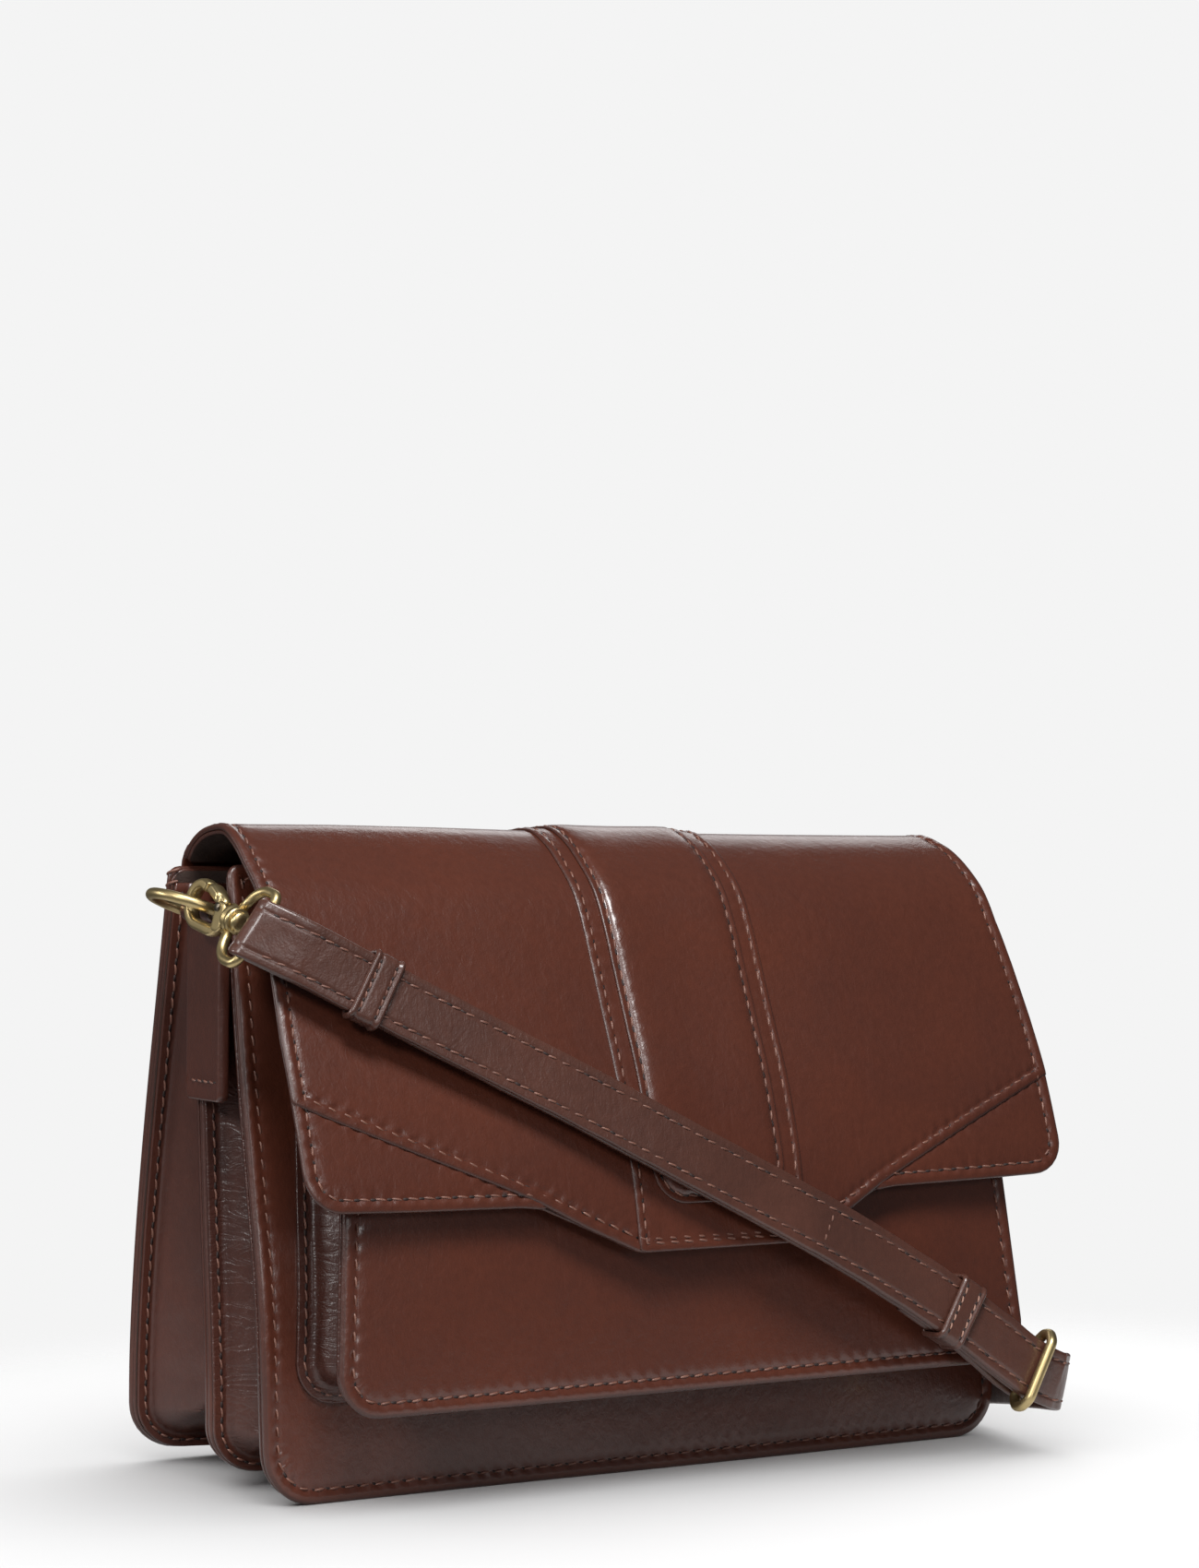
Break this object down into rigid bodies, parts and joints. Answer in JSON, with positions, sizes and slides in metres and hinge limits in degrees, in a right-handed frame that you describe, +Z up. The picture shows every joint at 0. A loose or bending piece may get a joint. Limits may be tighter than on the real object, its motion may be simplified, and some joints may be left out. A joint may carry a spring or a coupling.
{
  "type": "crossbody purse",
  "caption": "Structured leather crossbody purse with two folded-gusset compartments, a front pocket, a magnetic flap with a padded centre strip, and a clip-on adjustable strap.",
  "frame": {"origin": "middle of the divider panel's bottom edge, on the plane the purse stands on", "axes": "+X to the right seen from the front, the front faces -Y, +Z up"},
  "size_m": [0.2934, 0.2035, 0.1927],
  "materials": {
    "leather": "glossy",
    "gusset_leather": "glossy",
    "strap_leather": "semi-gloss",
    "lining": "matte",
    "board": "matte",
    "brass": "antique polished",
    "steel": "satin"
  },
  "bodies": {
    "bag": {"back_panel": "leather", "back_board": "board", "back_lining": "lining", "rear_gusset": "gusset_leather", "divider_panel": "leather", "divider_board": "board", "divider_lining": "lining", "front_gusset": "gusset_leather", "front_panel": "leather", "front_board": "board", "front_lining": "lining", "pocket_gusset": "gusset_leather", "pocket_panel": "leather", "pocket_lining": "lining", "snap_socket": "brass", "snap_washer": "steel", "side_tab_left": "leather", "side_tab_right": "leather", "swivel_loop_left": "brass", "swivel_loop_right": "brass", "strap_front": "strap_leather", "strap_under": "strap_leather", "strap_free": "strap_leather", "keeper_left": "strap_leather", "keeper_right": "strap_leather", "slide_buckle": "brass"},
    "flap": {"flap_outer": "leather", "flap_lining": "lining", "flap_corner_left": "leather", "flap_corner_right": "leather", "flap_wide_strip": "leather", "flap_narrow_strip": "leather", "snap_stud": "brass"},
    "ring_left": {"d_ring_left": "brass"},
    "ring_right": {"d_ring_right": "brass"},
    "clasp_left": {"hook_left": "brass", "gate_pin_left": "brass", "gate_spring_left": "steel"},
    "gate_left": {"gate_left": "brass"},
    "clasp_right": {"hook_right": "brass", "gate_pin_right": "brass", "gate_spring_right": "steel"},
    "gate_right": {"gate_right": "brass"}
  },
  "joints": [
    {"name": "flap_open", "type": "hinge", "parent": "bag", "child": "flap", "pos_m": [0, 0.0275, 0.1785], "axis": [-1, 0, 0], "range_deg": [0, 112], "deforming": ["strap_front", "strap_under", "keeper_left"]},
    {"name": "ring_left_swing", "type": "hinge", "parent": "bag", "child": "ring_left", "pos_m": [-0.1313, -0.001, 0.1644], "axis": [0, 1, 0], "range_deg": [0, 6]},
    {"name": "ring_right_swing", "type": "hinge", "parent": "bag", "child": "ring_right", "pos_m": [0.1313, -0.001, 0.1644], "axis": [0, -1, 0], "range_deg": [0, 6]},
    {"name": "clasp_left_swivel", "type": "hinge", "parent": "bag", "child": "clasp_left", "pos_m": [-0.13696, -0.00832, 0.16762], "axis": [0.0681, -0.9739, -0.2164], "range_deg": [-12, 8]},
    {"name": "gate_left_open", "type": "hinge", "parent": "clasp_left", "child": "gate_left", "pos_m": [-0.13551, -0.02477, 0.16588], "axis": [-0.9829, -0.1027, 0.1527], "range_deg": [0, 22], "stiffness_Nm_per_rad": 0.002, "springref_deg": -17.19, "deforming": ["gate_spring_left"]},
    {"name": "clasp_right_swivel", "type": "hinge", "parent": "bag", "child": "clasp_right", "pos_m": [0.13926, 0.00799, 0.16279], "axis": [0.0632, 0.4496, -0.891], "range_deg": [-12, 5]},
    {"name": "gate_right_open", "type": "hinge", "parent": "clasp_right", "child": "gate_right", "pos_m": [0.14145, 0.01673, 0.14883], "axis": [0.7956, -0.5617, -0.227], "range_deg": [0, 22], "stiffness_Nm_per_rad": 0.002, "springref_deg": -17.19, "deforming": ["gate_spring_right"]}
  ]
}
